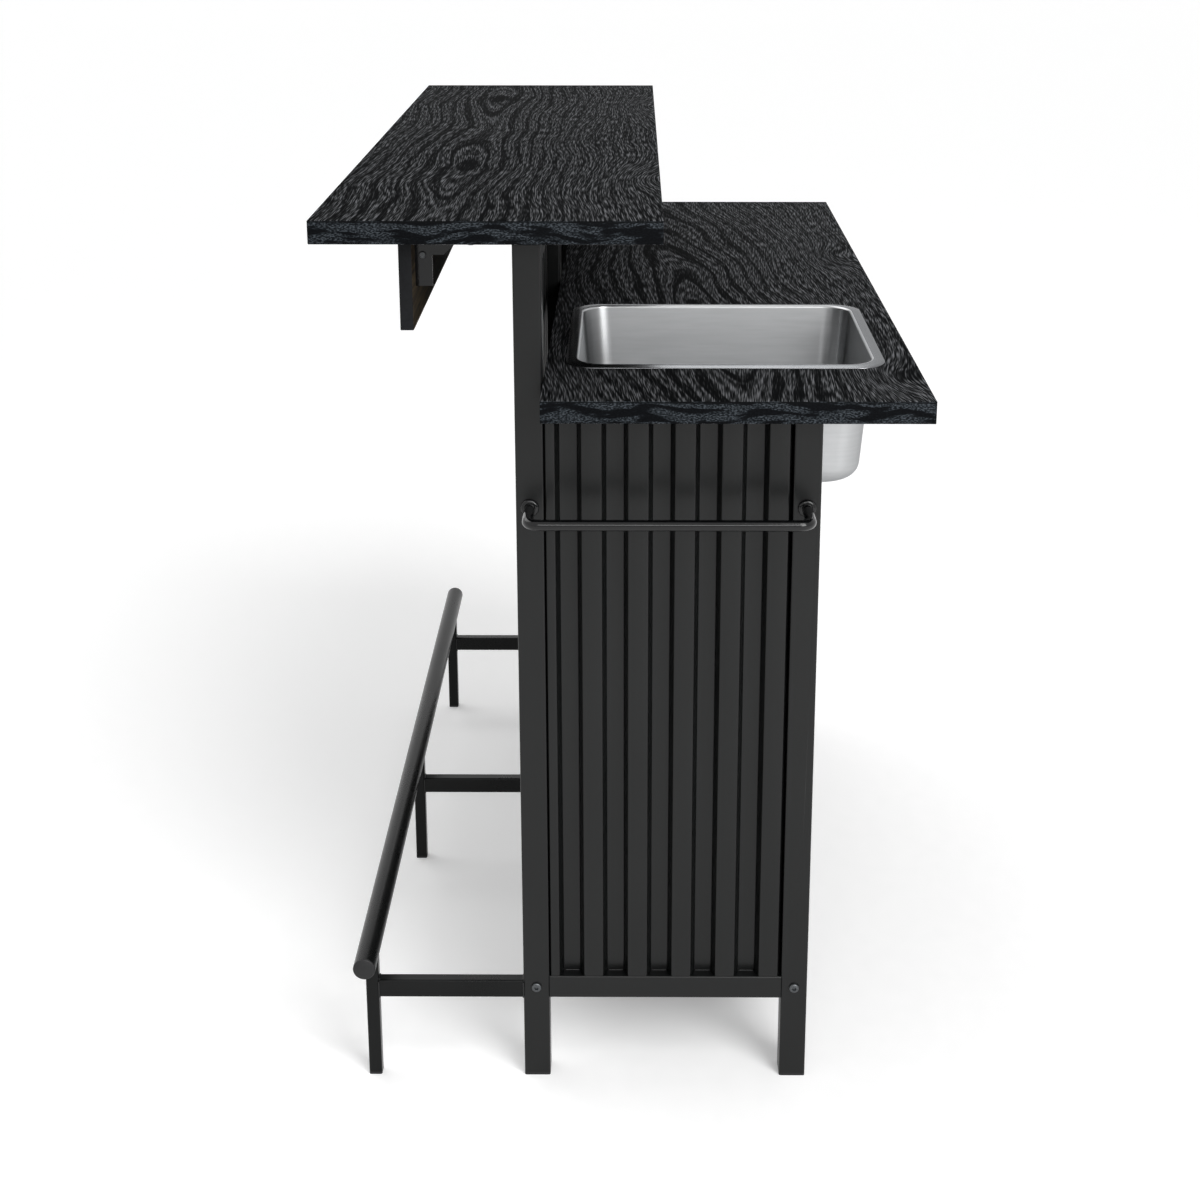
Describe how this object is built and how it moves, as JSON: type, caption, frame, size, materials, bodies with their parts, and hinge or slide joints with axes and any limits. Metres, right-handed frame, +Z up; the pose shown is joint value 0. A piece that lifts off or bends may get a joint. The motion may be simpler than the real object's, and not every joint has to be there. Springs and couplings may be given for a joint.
{
  "type": "bar table",
  "caption": "Bar table with a raised guest top, a lower worktop with a drop-in sink, a footrail, a towel bar and a tube frame closed by box-profile steel sheet.",
  "frame": {"origin": "on the floor, under the middle of the overall box", "axes": "+X along the table to the end with the sink, +Y to the bartender's side, +Z up"},
  "size_m": [1.2, 0.6294, 1.02],
  "materials": {
    "powder_coated_steel": "satin powder coat",
    "embossed_oak_laminate": "black laminate, embossed oak grain",
    "black_laminate": "black laminate",
    "stainless_steel": "brushed",
    "black_plastic": "moulded",
    "dark_zinc": "black zinc"
  },
  "bodies": {
    "table": {"raised_bar_top": "embossed_oak_laminate", "worktop": "embossed_oak_laminate", "fascia_board": "embossed_oak_laminate", "bottom_shelf": "black_laminate", "middle_shelf": "black_laminate", "front_post_sink_end": "powder_coated_steel", "front_post_middle": "powder_coated_steel", "front_post_shelf_end": "powder_coated_steel", "rear_post_sink_end": "powder_coated_steel", "rear_post_middle": "powder_coated_steel", "rear_post_shelf_end": "powder_coated_steel", "lower_side_rail_sink_end": "powder_coated_steel", "lower_side_rail_middle": "powder_coated_steel", "lower_side_rail_shelf_end": "powder_coated_steel", "upper_side_rail_sink_end": "powder_coated_steel", "upper_side_rail_middle": "powder_coated_steel", "upper_side_rail_shelf_end": "powder_coated_steel", "front_lower_rail_sink_bay": "powder_coated_steel", "front_lower_rail_shelf_bay": "powder_coated_steel", "front_upper_rail_sink_bay": "powder_coated_steel", "front_upper_rail_shelf_bay": "powder_coated_steel", "rear_lower_rail_sink_bay": "powder_coated_steel", "rear_lower_rail_shelf_bay": "powder_coated_steel", "rear_upper_rail_shelf_bay": "powder_coated_steel", "arm_sink_end": "powder_coated_steel", "arm_middle": "powder_coated_steel", "arm_shelf_end": "powder_coated_steel", "end_panel_sink_end": "powder_coated_steel", "end_panel_shelf_end": "powder_coated_steel", "front_panel_sink_bay": "powder_coated_steel", "front_panel_shelf_bay": "powder_coated_steel", "fascia_braces": "powder_coated_steel", "shelf_angles": "powder_coated_steel", "post_foot_plugs": "black_plastic", "leg_foot_plugs": "black_plastic", "arm_plugs": "black_plastic", "footrail": "powder_coated_steel", "footrail_caps": "black_plastic", "footrail_leg_sink_end": "powder_coated_steel", "footrail_leg_middle": "powder_coated_steel", "footrail_leg_shelf_end": "powder_coated_steel", "crossbar_sink_end": "powder_coated_steel", "crossbar_middle": "powder_coated_steel", "crossbar_shelf_end": "powder_coated_steel", "towel_bar": "powder_coated_steel", "towel_bar_flanges": "powder_coated_steel", "towel_bar_screws": "dark_zinc", "sink_bowl": "stainless_steel", "sink_seal": "black_plastic", "sink_clips": "dark_zinc", "drain_body": "stainless_steel", "drain_gasket": "black_plastic", "drain_locknut": "black_plastic", "drain_slip_nut": "black_plastic", "tailpiece": "stainless_steel", "frame_bolts": "dark_zinc", "rail_inserts": "dark_zinc", "board_screws": "dark_zinc"},
    "stopper": {"drain_stopper": "stainless_steel"}
  },
  "joints": [
    {"name": "stopper_lift", "type": "slide", "parent": "table", "child": "stopper", "axis": [0, 0, 1], "range_m": [0, 0.15]}
  ]
}
